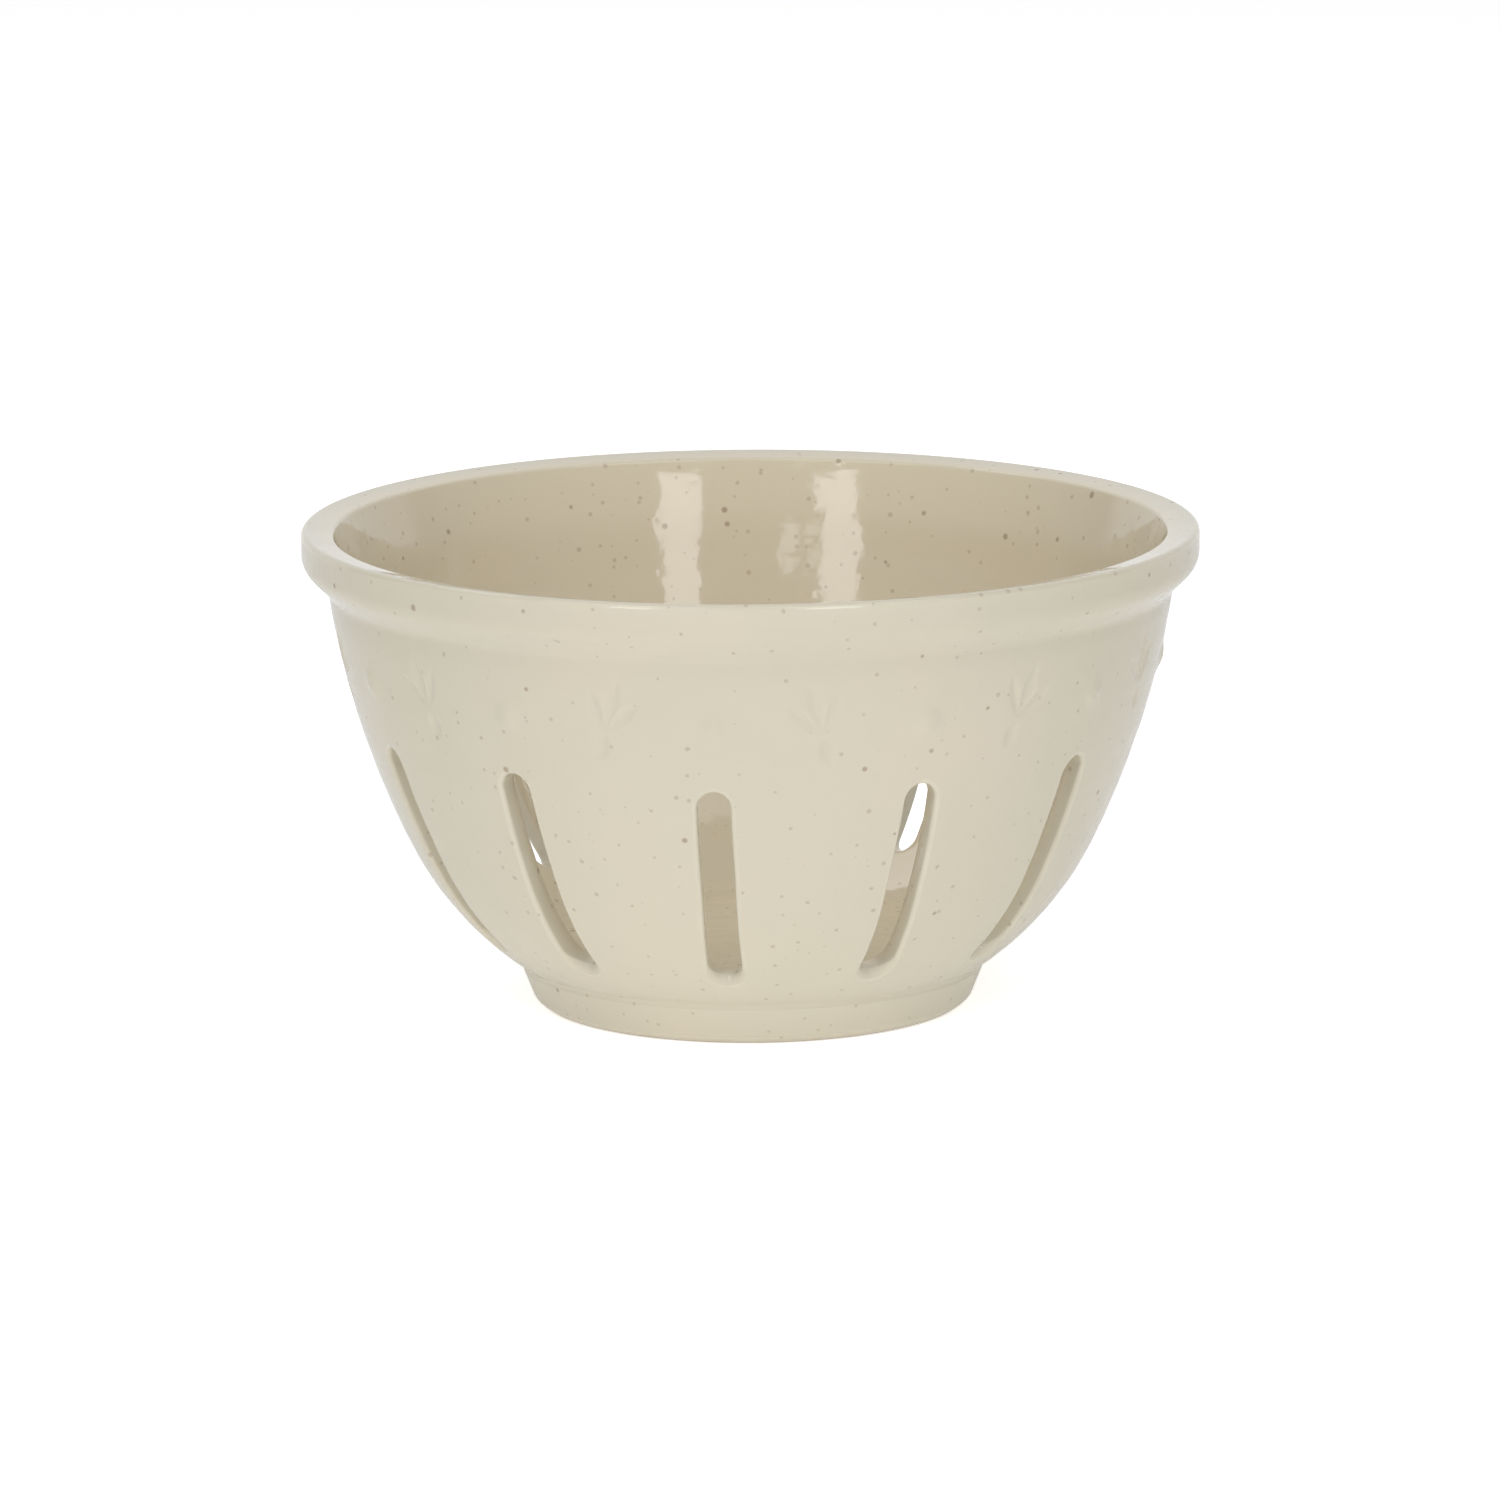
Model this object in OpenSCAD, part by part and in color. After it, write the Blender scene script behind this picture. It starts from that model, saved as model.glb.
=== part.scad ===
// Berry colander bowl: a footed stoneware bowl with drain slots all round its
// wall, a thick rolled collar, a leaf print in each bay and a clay dot over
// each slot. Millimetres, +Z up, origin at the centre of the resting face.

/* [Bowl] */
// Outer radius of the collar, the widest place of the bowl
rim_radius = 80; // [76:1:88]
// Height of the bowl from the table to the top of the collar
bowl_height = 86; // [80:1:96]
// Thickness of the thrown wall, measured square to it
wall_thickness = 4.6; // [3.6:0.2:6]

/* [Wall curve] */
// How far the wall stands in from the collar's widest place, right under the collar
wall_inset = 4.9; // [4:0.1:6]
// Flare of the wall under the collar, in degrees from upright
flare_angle = 7.9; // [5:0.1:11]
// Flare of the wall where its rounder belly starts, in degrees from upright
belly_angle = 25.9; // [24:0.1:28]
// Height at which the rounder belly starts
belly_height = 30.3; // [27:0.1:33]

/* [Foot and floor] */
// Height of the foot ring
foot_height = 6.8; // [5:0.2:9]
// How far the foot ring's top edge stands in from the collar's widest place
foot_inset = 38.8; // [37:0.2:43]
// How far the foot ring's top edge stands out past the wall
foot_ledge = 1.1; // [0.6:0.1:1.5]
// How far the foot ring's outer face leans in on its way down
foot_lean = 3.3; // [2:0.1:4]
// Rounding of the foot ring's lower outer edge
foot_round = 3; // [1.5:0.25:3.5]
// Width of the foot ring at its top
foot_width = 11; // [9:0.5:13]
// Thickness of the floor slab over the foot ring
floor_thickness = 4.7; // [3.5:0.1:5.4]

/* [Collar] */
// Height of the collar
collar_height = 9.3; // [8:0.1:12]
// Width of the collar's top, from its widest place to the inner lip
collar_width = 7.4; // [6.5:0.1:9]
// How far the collar's lower edge stands in from its widest place
collar_tuck = 2.6; // [1.5:0.1:3]
// Rounding of the collar's lower edge
collar_low_round = 3.4; // [1.5:0.1:3.6]
// Rounding of the collar's belly, its widest place
collar_belly_round = 6; // [3:0.5:8]
// Rounding of the collar's upper outer edge
collar_top_round = 1.2; // [0.5:0.1:2]
// Rounding of the inner lip
lip_round = 4.2; // [3:0.1:5]
// How far the collar's top falls towards the inner lip
top_fall = 0.7; // [0.2:0.1:1.2]

/* [Drain slots] */
// Number of drain slots round the wall
slot_count = 12; // [8:1:14]
// Width of one slot
slot_width = 6; // [4.5:0.25:7]
// Height of a slot's lower end above the floor's upper face
slot_rise = 2.2; // [1:0.1:4]
// Height of wall left between the slots' upper ends and the printed band
slot_margin = 1.5; // [1:0.1:3]

/* [Printed band] */
// Height of the band between the slotted wall and the collar
band_height = 23.5; // [21:0.5:27]
// Height of a print's centre above the band's lower edge
print_rise = 8.5; // [8:0.1:9.5]
// Lean of the prints to alternate sides, in degrees
print_lean = 16; // [0:1:24]
// Length of a print's middle leaf
leaf_length = 8.4; // [6:0.2:9]
// Greatest width of the middle leaf
leaf_width = 2.2; // [1.4:0.1:2.4]
// Angle between neighbouring leaves, in degrees
leaf_fan = 34; // [30:1:44]
// Distance from a print's centre to the foot of each leaf
leaf_gap = 1; // [0.8:0.1:1.5]
// Depth of the prints in the wall
print_depth = 0.5; // [0.35:0.05:0.8]

/* [Clay dots] */
// Radius of one dot where it meets the wall
dot_radius = 2.4; // [1.5:0.1:3]
// Height that a dot stands out of the wall
dot_height = 0.7; // [0.4:0.1:1.2]
// Height of a dot's centre above the band's lower edge
dot_rise = 10; // [4:0.5:16]

/* [Hidden] */
$fn = 144;
overrun = 1;             // how far a cut runs past what it cuts
arc_steps = 8;           // straight pieces in one rounded corner
dome_steps = 4;          // straight pieces from a dot's edge to its top
widest_share = 0.62;     // where the collar is widest, up its height
side_leaf_share = 0.8;   // the side leaves against the middle one
stem_share = 0.5;        // the stem's length against the middle leaf
stoneware = "#cfc6a8";
glaze_pale = "#d8d0b6";

// heights of the stacked pieces
floor_top = foot_height + floor_thickness;
slot_low = floor_top + slot_rise;
collar_low = bowl_height - collar_height;
band_low = collar_low - band_height;
slot_high = band_low - slot_margin;

foot_radius = rim_radius - foot_inset;
foot_low_radius = foot_radius - foot_lean;
foot_bore_radius = foot_radius - foot_width;

// The wall's outer curve is two arcs that run into each other without a corner.
// The upper one starts under the collar at the flare angle. The belly leaves it
// at the belly angle and ends at the foot, which sets its radius.
wall_top = [rim_radius - wall_inset, collar_low];
wall_foot = [foot_radius - foot_ledge, foot_height];
upper_radius = (collar_low - belly_height) / (sin(belly_angle) - sin(flare_angle));
upper_centre = wall_top - upper_radius * [cos(flare_angle), -sin(flare_angle)];
belly_out = [cos(belly_angle), -sin(belly_angle)];
belly_top = upper_centre + upper_radius * belly_out;
belly_chord = wall_foot - belly_top;
belly_radius = -pow(norm(belly_chord), 2) / (2 * belly_chord * belly_out);
belly_centre = belly_top - belly_radius * belly_out;

// distance from the axis to the wall's face at height z, for a face set in by depth
function split_height(depth) = belly_height + depth * sin(belly_angle);
function reach(z, depth) =
    z < split_height(depth)
    ? belly_centre[0] + sqrt(pow(belly_radius - depth, 2) - pow(belly_centre[1] - z, 2))
    : upper_centre[0] + sqrt(pow(upper_radius - depth, 2) - pow(upper_centre[1] - z, 2));
// how far the outer face is tipped down at height z
function tilt(z) =
    z < belly_height
    ? asin((belly_centre[1] - z) / belly_radius)
    : asin((upper_centre[1] - z) / upper_radius);

// the points of one rounded corner at b, between a and c
function unit(v) = v / norm(v);
function corner_arc(a, b, c, r) =
    let (
        u = unit(a - b),
        w = unit(c - b),
        half = acos(u * w) / 2,
        middle = b + unit(u + w) * r / sin(half),
        from = b + u * r / tan(half) - middle,
        to = b + w * r / tan(half) - middle,
        start = atan2(from[1], from[0]),
        turn = (atan2(to[1], to[0]) - start + 540) % 360 - 180
    )
    [for (i = [0 : arc_steps]) let (t = start + turn * i / arc_steps) middle + r * [cos(t), sin(t)]];
// an outline whose corners carry a rounding each; a rounding of 0 stays sharp
function rounded(corners, rounds) =
    [for (i = [0 : len(corners) - 1])
        let (n = len(corners), a = corners[(i + n - 1) % n], b = corners[i], c = corners[(i + 1) % n])
        each rounds[i] == 0 ? [b] : corner_arc(a, b, c, rounds[i])];

// everything inside the wall's face that is set in by depth
module inside_face(depth) {
    intersection() {
        translate(belly_centre) circle(belly_radius - depth);
        square([rim_radius, split_height(depth)]);
    }
    // the belly's arc is centred off the axis, so the part nearer the axis is filled
    if (belly_centre[0] > 0) square([belly_centre[0], split_height(depth)]);
    intersection() {
        translate(upper_centre) circle(upper_radius - depth);
        translate([0, split_height(depth)]) square([rim_radius, bowl_height - split_height(depth)]);
    }
}

// a ring of the wall between two heights
module wall_ring(low, high) {
    rotate_extrude() intersection() {
        difference() {
            inside_face(0);
            inside_face(wall_thickness);
        }
        translate([0, low]) square([rim_radius, high - low]);
    }
}

// stands what follows square to the wall at height z, facing out
module on_wall(angle, z) {
    rotate(angle) translate([0, -reach(z, 0), z]) rotate([tilt(z), 0, 0]) rotate([90, 0, 0]) children();
}

// one drain slot, cut level through the wall from just inside it
module slot_cut() {
    half = slot_width / 2;
    slot_length = slot_high - slot_low;
    start = reach(slot_low, wall_thickness) - slot_width;
    translate([0, -start, slot_low + half]) rotate([90, 0, 0]) linear_extrude(rim_radius - start) union() {
        circle(half);
        translate([0, slot_length - slot_width]) circle(half);
        translate([-half, 0]) square([slot_width, slot_length - slot_width]);
    }
}

// a pointed leaf from its foot upwards: the overlap of two round faces
module leaf_outline(length, width) {
    bow = (pow(length, 2) + pow(width, 2)) / (4 * width);
    translate([0, length / 2]) intersection() {
        translate([bow - width / 2, 0]) circle(bow);
        translate([width / 2 - bow, 0]) circle(bow);
    }
}

// one printed leaf, sunk to the print's depth
module leaf_cut(length, width) {
    translate([0, 0, -print_depth]) linear_extrude(print_depth + overrun)
        translate([0, leaf_gap]) leaf_outline(length, width);
}

// a sprig: three leaves fanned upwards and a short stem below
module sprig_cut() {
    leaf_cut(leaf_length, leaf_width);
    for (side = [-1, 1])
        rotate(side * leaf_fan) leaf_cut(leaf_length * side_leaf_share, leaf_width * side_leaf_share);
    rotate(180) leaf_cut(leaf_length * stem_share, leaf_width);
}

// the ring that the bowl stands on, leaning in and rounded at the table
module foot_ring() {
    color(stoneware) rotate_extrude() polygon(rounded([
        [foot_bore_radius, foot_height],
        [foot_bore_radius, 0],
        [foot_low_radius, 0],
        [foot_radius, foot_height]
    ], [0, foot_round / 3, foot_round, foot_ledge / 2]));
}

// the slab that closes the bowl, held by the wall's inner face
module bowl_floor() {
    color(stoneware) rotate_extrude() intersection() {
        inside_face(wall_thickness);
        translate([0, foot_height]) square([rim_radius, floor_thickness]);
    }
}

// the lower wall with its drain slots
module drain_wall() {
    color(glaze_pale) difference() {
        wall_ring(foot_height, band_low);
        for (i = [0 : slot_count - 1]) rotate(i * 360 / slot_count) slot_cut();
    }
}

// the plain upper wall with a leaf print in each bay
module print_band() {
    color(glaze_pale) difference() {
        wall_ring(band_low, collar_low);
        for (i = [0 : slot_count - 1])
            on_wall((i + 0.5) * 360 / slot_count, band_low + print_rise)
                rotate(i % 2 == 0 ? print_lean : -print_lean) sprig_cut();
    }
}

// the thick rolled collar with its soft inner lip
module rim_collar() {
    color(glaze_pale) rotate_extrude() polygon(rounded([
        [reach(collar_low, wall_thickness), collar_low],
        [rim_radius - collar_tuck, collar_low],
        [rim_radius, collar_low + collar_height * widest_share],
        [rim_radius, bowl_height],
        [rim_radius - 2 * collar_top_round, bowl_height],
        [rim_radius - collar_width, bowl_height - top_fall]
    ], [0, collar_low_round, collar_belly_round, collar_top_round, 0, lip_round]));
}

// the low clay dots, one over each slot: round caps seated on the wall
module clay_dots() {
    ball = (pow(dot_radius, 2) + pow(dot_height, 2)) / (2 * dot_height);
    edge = asin(dot_radius / ball);
    dome = [for (i = [0 : dome_steps]) let (t = edge * (1 - i / dome_steps))
        [ball * sin(t), dot_height - ball * (1 - cos(t))]];
    color(glaze_pale) for (i = [0 : slot_count - 1])
        on_wall(i * 360 / slot_count, band_low + dot_rise)
            rotate_extrude() polygon(concat([[0, 0]], dome));
}

foot_ring();
bowl_floor();
drain_wall();
print_band();
rim_collar();
clay_dots();
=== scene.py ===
import math

import bpy
import numpy as np
from mathutils import Matrix, Vector


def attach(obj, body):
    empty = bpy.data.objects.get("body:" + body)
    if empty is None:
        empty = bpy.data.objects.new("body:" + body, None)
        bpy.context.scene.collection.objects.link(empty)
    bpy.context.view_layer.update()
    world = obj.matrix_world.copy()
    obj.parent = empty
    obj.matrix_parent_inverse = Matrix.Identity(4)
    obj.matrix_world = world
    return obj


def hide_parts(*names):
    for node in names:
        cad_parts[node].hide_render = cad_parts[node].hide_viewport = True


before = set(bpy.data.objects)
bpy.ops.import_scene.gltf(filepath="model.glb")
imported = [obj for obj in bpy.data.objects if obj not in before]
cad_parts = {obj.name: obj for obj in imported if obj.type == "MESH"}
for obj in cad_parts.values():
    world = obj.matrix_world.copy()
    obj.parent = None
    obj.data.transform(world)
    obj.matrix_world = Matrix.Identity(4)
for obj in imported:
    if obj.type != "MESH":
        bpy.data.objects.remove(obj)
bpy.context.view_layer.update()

print("frame loaded:", ", ".join(sorted(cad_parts)))

# Shapes are worked out in millimetres and put into the meshes in metres.
# An angle of 0 looks along -Y, where the first slot is, and grows towards +X.
bowl = {
    "rimRadius": 80.0,
    "height": 86.0,
    "wall": 4.6,           # thickness, square to the wall
    "inset": 4.9,          # from the collar's widest place in to the wall under it
    "flare": 7.9,          # degrees from upright under the collar
    "bellyFlare": 25.9,    # degrees from upright where the belly starts
    "bellyHeight": 30.3,
    "footHeight": 6.8,
    "footRadius": 41.2,
    "footLedge": 1.1,
    "floor": 4.7,
    "collar": 9.3,
    "band": 23.5,
    "bays": 12,
    # inside, the wall flares out towards the lip
    "lipFlareHeight": 74.5,
    "lipFlareEase": 1.5,   # half the height over which the flare sets in
    "lipFlareSlope": 0.14,
    "lipFlareCurve": 0.0083,
}
collarLow = bowl["height"] - bowl["collar"]
bandLow = collarLow - bowl["band"]
floorTop = bowl["footHeight"] + bowl["floor"]
bayTurn = 360.0 / bowl["bays"]


def sinD(angle):
    return np.sin(np.radians(angle))


def cosD(angle):
    return np.cos(np.radians(angle))


# the wall's two arcs: the upper one leaves the collar at the flare angle, and
# the belly leaves it without a corner and ends on the foot
wallTop = np.array([bowl["rimRadius"] - bowl["inset"], collarLow])
wallFoot = np.array([bowl["footRadius"] - bowl["footLedge"], bowl["footHeight"]])
upperRise = sinD(bowl["bellyFlare"]) - sinD(bowl["flare"])
upperRadius = (collarLow - bowl["bellyHeight"]) / upperRise
upperCentre = wallTop - upperRadius * np.array([cosD(bowl["flare"]), -sinD(bowl["flare"])])
bellyOut = np.array([cosD(bowl["bellyFlare"]), -sinD(bowl["bellyFlare"])])
bellyTop = upperCentre + upperRadius * bellyOut
bellyChord = wallFoot - bellyTop
bellyRadius = -bellyChord.dot(bellyChord) / (2 * bellyChord.dot(bellyOut))
bellyCentre = bellyTop - bellyRadius * bellyOut


def wallArc(z, depth):
    # the arc at a height, this deep in the wall: its radius, and its centre's distance from
    # the axis and height
    belly = z < bowl["bellyHeight"] + depth * sinD(bowl["bellyFlare"])
    return (np.where(belly, bellyRadius, upperRadius) - depth,
            np.where(belly, bellyCentre[0], upperCentre[0]),
            np.where(belly, bellyCentre[1], upperCentre[1]))


def wallReach(z, depth=0.0):
    # distance from the axis: centre + sqrt(radius^2 - height from the centre^2)
    radius, centreR, centreZ = wallArc(z, depth)
    return centreR + np.sqrt(radius ** 2 - (centreZ - z) ** 2)


def wallTilt(z, depth=0.0):
    # angle of the wall from upright: arcsine of the height under the centre over the radius
    radius, _, centreZ = wallArc(z, depth)
    return np.degrees(np.arcsin((centreZ - z) / radius))


def innerReach(z):
    # the inner wall's distance from the axis: the arc inside + slope u + curve u^2, where u is
    # the height over the bend, or close to the bend (that height + ease)^2 / (4 ease)
    over, ease = z - bowl["lipFlareHeight"], bowl["lipFlareEase"]
    u = np.where(over > ease, over, np.clip(over + ease, 0, None) ** 2 / (4 * ease))
    return wallReach(z, bowl["wall"]) + bowl["lipFlareSlope"] * u + bowl["lipFlareCurve"] * u ** 2


def onWall(z, depth=0.0):
    return float(wallReach(z, depth)), z


def wallLine(low, high, count, reach=wallReach):
    z = np.linspace(low, high, count)
    return np.stack([reach(z), z], -1)


# columns of half a bay, counted from its middle, and the degrees that they have reached:
# closest over the dot in the middle and over the prints at the edges
bayKnots = ([0, 8, 18, 44], [0.0, 2.6, 8.6, bayTurn / 2])


def bayColumns(step):
    half = np.interp(np.arange(0, bayKnots[0][-1] + 1, step), *bayKnots)
    return np.concatenate([-half[::-1], half[1:]])


def allRound(columns):
    return np.add.outer(bayTurn * np.arange(bowl["bays"]), columns[:-1]).ravel()


coarseBay = bayColumns(2)
coarseRing, fineRing = allRound(coarseBay), allRound(bayColumns(1))


def place(radius, angle, z):
    # polar to straight: x = r sin a, y = -r cos a
    radius, angle, z = np.broadcast_arrays(radius, angle, z)
    return np.stack([radius * sinD(angle), -radius * cosD(angle), z], -1)


def turned(line, angles):
    # a profile of (r, z) points carried round the axis
    line = np.asarray(line)
    return place(line[:, :1], angles[None, :], line[:, 1:])


def netFaces(index):
    # four corners between neighbouring rows, closed round the columns
    right = np.roll(index, -1, axis=1)
    return np.stack([index[:-1], right[:-1], right[1:], index[1:]], -1).reshape(-1, 4)


def widenFaces(coarse, fine):
    # five corners from a row of coarse columns up to a row with twice as many
    pairs = fine.reshape(-1, 2)
    return np.stack([coarse, np.roll(coarse, -1), np.roll(pairs[:, 0], -1),
                     pairs[:, 1], pairs[:, 0]], -1)


def narrowFaces(fine, coarse):
    # and back from the fine row up to a coarse one
    pairs = fine.reshape(-1, 2)
    return np.stack([pairs[:, 0], pairs[:, 1], np.roll(pairs[:, 0], -1),
                     np.roll(coarse, -1), coarse], -1)


def roundedLine(corners, rounds, steps=10):
    # every inner corner becomes an arc that touches both sides r / tan(half the angle) from it
    corners = [np.array(c, float) for c in corners]
    line = [corners[0]]
    for a, b, c, r in zip(corners, corners[1:], corners[2:], rounds):
        u, w = (a - b) / np.linalg.norm(a - b), (c - b) / np.linalg.norm(c - b)
        half = math.acos(float(u.dot(w))) / 2
        middle = b + (u + w) / np.linalg.norm(u + w) * r / math.sin(half)
        start, end = b + u * r / math.tan(half) - middle, b + w * r / math.tan(half) - middle
        first = math.atan2(start[1], start[0])
        # the shorter way round
        turn = (math.atan2(end[1], end[0]) - first + 3 * math.pi) % (2 * math.pi) - math.pi
        swing = first + turn * np.linspace(0, 1, steps + 1)
        line.extend(middle + r * np.stack([np.cos(swing), np.sin(swing)], -1))
    line.append(corners[-1])
    return np.array(line)


def along(a, b, count):
    # points from a to b without the last
    t = np.linspace(0, 1, count, endpoint=False)[:, None]
    return (1 - t) * np.asarray(a, float) + t * np.asarray(b, float)


pieces = []


def addPiece(name, nodes, grids, skin, hidden):
    # keeps a piece until it goes into Blender; skin is its faces that can be seen, and
    # hidden closes it where it meets its neighbours
    points = np.concatenate([grid.reshape(-1, 3) for grid in grids])
    pieces.append({"name": name, "nodes": nodes, "points": points, "skin": skin,
                   "hidden": hidden})


def indexOf(*grids):
    # numbers of the points in each of a piece's grids
    found, start = [], 0
    for grid in grids:
        size = grid[..., 0].size
        found.append(start + np.arange(size).reshape(grid.shape[:-1]))
        start += size
    return found


# the foot ring, from the floor round the resting face and up to the belly
foot = {
    "joinIn": 27.0,        # where it runs into the floor's underside
    "bore": 30.2,
    "boreRound": 2.2,
    "lipRound": 1.0,       # at the resting face's inner edge
    "lowRadius": 37.1,     # the resting face's outer edge
    "lowRound": 2.6,
    "turn": (39.0, 1.3),   # the outer side bends here, in at the bottom
    "ledge": (41.1, 6.6),
    "ledgeRound": 0.7,
    "groove": 7.55,        # height of the soft groove under the belly
    "grooveRound": 1.5,
    "grooveRun": 0.8,
    "joinHigh": 9.0,       # where it runs into the slotted wall
    "joinRows": 4,
}


def makeFoot():
    high = wallLine(foot["groove"] + foot["grooveRun"], foot["joinHigh"], foot["joinRows"])
    line = roundedLine(
        [(foot["joinIn"], bowl["footHeight"]), (foot["bore"], bowl["footHeight"]),
         (foot["bore"], 0), (foot["lowRadius"], 0), foot["turn"], foot["ledge"],
         onWall(foot["groove"]), high[0]],
        [foot["boreRound"], foot["lipRound"], foot["lowRound"], foot["lowRound"],
         foot["ledgeRound"], foot["grooveRound"]])
    grid = turned(np.concatenate([line, high[1:]]), coarseRing)
    index, = indexOf(grid)
    addPiece("foot_ring_glazed", ["foot_ring"], [grid], [netFaces(index)],
             [netFaces(index[[-1, 0]])])


# the floor, its underside and its soft turn up into the wall
floorPan = {
    "joinHigh": 12.6,      # where it runs into the slotted wall
    "turnRound": 3.0,
    "ringsFrom": 20.0,     # rings of points from this radius in to the middle one
    "eye": 0.8,            # the middle ring, closed by a fan of triangles
    "rings": 14,
}


def makeFloor():
    eye, rings = floorPan["eye"], floorPan["rings"]
    under = np.stack([np.linspace(eye, foot["joinIn"], rings),
                      np.full(rings, bowl["footHeight"])], -1)
    turn = roundedLine([onWall(floorPan["joinHigh"], bowl["wall"]),
                        onWall(floorTop, bowl["wall"]), (floorPan["ringsFrom"], floorTop)],
                       [floorPan["turnRound"]])
    top = np.concatenate([turn[:-1], along(turn[-1], (eye, floorTop), rings), [(eye, floorTop)]])
    poles = np.array([[0, 0, bowl["footHeight"]], [0, 0, floorTop]])
    grids = [turned(under, coarseRing), turned(top, coarseRing), poles]
    underIndex, topIndex, poleIndex = indexOf(*grids)
    low, high = underIndex[0], topIndex[-1]
    fans = [np.stack([np.full_like(low, poleIndex[0]), np.roll(low, -1), low], -1),
            np.stack([high, np.roll(high, -1), np.full_like(high, poleIndex[1])], -1)]
    addPiece("floor_glazed", ["bowl_floor"], grids,
             [netFaces(underIndex), netFaces(topIndex)] + fans,
             [netFaces(np.stack([underIndex[-1], topIndex[0]]))])


# the slotted wall: a net of rays runs from each slot's outline to its bay's edges
slots = {
    "width": 5.85,
    "low": 14.3,
    "high": 51.3,
    "tip": 8.5,            # how far the cut falls on its way out, in degrees
    "outerEdge": 0.85,     # rounding of the edges outside and inside
    "innerEdge": 1.7,
    "innerLess": 0.6,      # the share by which that is smaller at the low end, clear of the floor
    "scoopDown": 2.7,      # at the low end the outer edge reaches this far down the face
    "scoopDeep": 2.3,      # and this far along the cut,
    "scoopFlat": 0.65,     # and is this near to flat
    "scoopPower": 1.5,     # a higher one keeps the scoop nearer to the lowest point
    "edgeRows": 9,
    "cutRows": 2,
    "sideSteps": 48,
    "outerRays": 13,
    "innerRays": 10,
    "rayPower": 1.5,       # packs the rays' points towards the slot
    "settle": 12,          # rounds in which the cut's depth is found
    "uneven": 0.07,        # wander of the cut edges
    # the hand-spaced slots swing a little off their even places, in degrees
    "swing": [-0.2, 0.5, 0.1, 0.4, -0.5, 2.0, -0.3, 0.6, -4.3, 0.2, -0.1, -1.2],
    # one was cut narrower, and their ends aren't quite level
    "narrow": [0, 0, 0, 0, 0, 0.6, 0, 0, 0, 0, 0, 0],
    "lowLift": [0, 0, 0, 0.3, 0, 2.8, 0, 0, 2.6, 0, 0.3, 0],
    "highLift": [-0.2, 0, 0.2, 0, 0.3, 0, -0.3, 0, 0, 0.2, 0, 0.8],
    "seed": 5,
}


def slotOutline():
    # a stadium, counter-clockwise from its lower left: two half circles and two
    # straight sides, each point moved outwards by a slow wander of its own slot
    half, n, m = slots["width"] / 2, len(coarseBay) - 1, slots["sideSteps"]
    lift = np.array([slots["lowLift"], slots["highLift"]])[:, :, None, None]
    low, high = slots["low"] + half + lift[0], slots["high"] - half + lift[1]
    bottom = np.linspace(180, 360, n, endpoint=False)
    top = np.linspace(0, 180, n, endpoint=False)
    side = np.linspace(0, 1, m, endpoint=False)
    nx = np.concatenate([cosD(bottom), np.ones(m), cosD(top), -np.ones(m)])
    nz = np.concatenate([sinD(bottom), np.zeros(m), sinD(top), np.zeros(m)])
    base = np.concatenate([low + 0 * bottom, low + (high - low) * side, high + 0 * top,
                           high + (low - high) * side], -1)
    rng = np.random.default_rng(slots["seed"])
    t = np.linspace(0, 2 * np.pi, len(nx), endpoint=False)
    waves = np.array([1, 2, 3, 5])
    phase = rng.uniform(0, 2 * np.pi, (bowl["bays"], len(waves), 1))
    size = rng.uniform(0.3, 1.0, (bowl["bays"], len(waves), 1)) * slots["uneven"]
    wander = (size * np.sin(waves[None, :, None] * t + phase)).sum(1)[:, None, :]
    out = half + wander - np.array(slots["narrow"])[:, None, None] / 2
    return out * nx, base + out * nz, nx, nz


def onFace(x, z, depth):
    # a point of the wall's face in its bay's own frame: y = sqrt(reach^2 - x^2)
    return np.stack([x, np.sqrt(wallReach(z, depth) ** 2 - x ** 2), z], -1)


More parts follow.
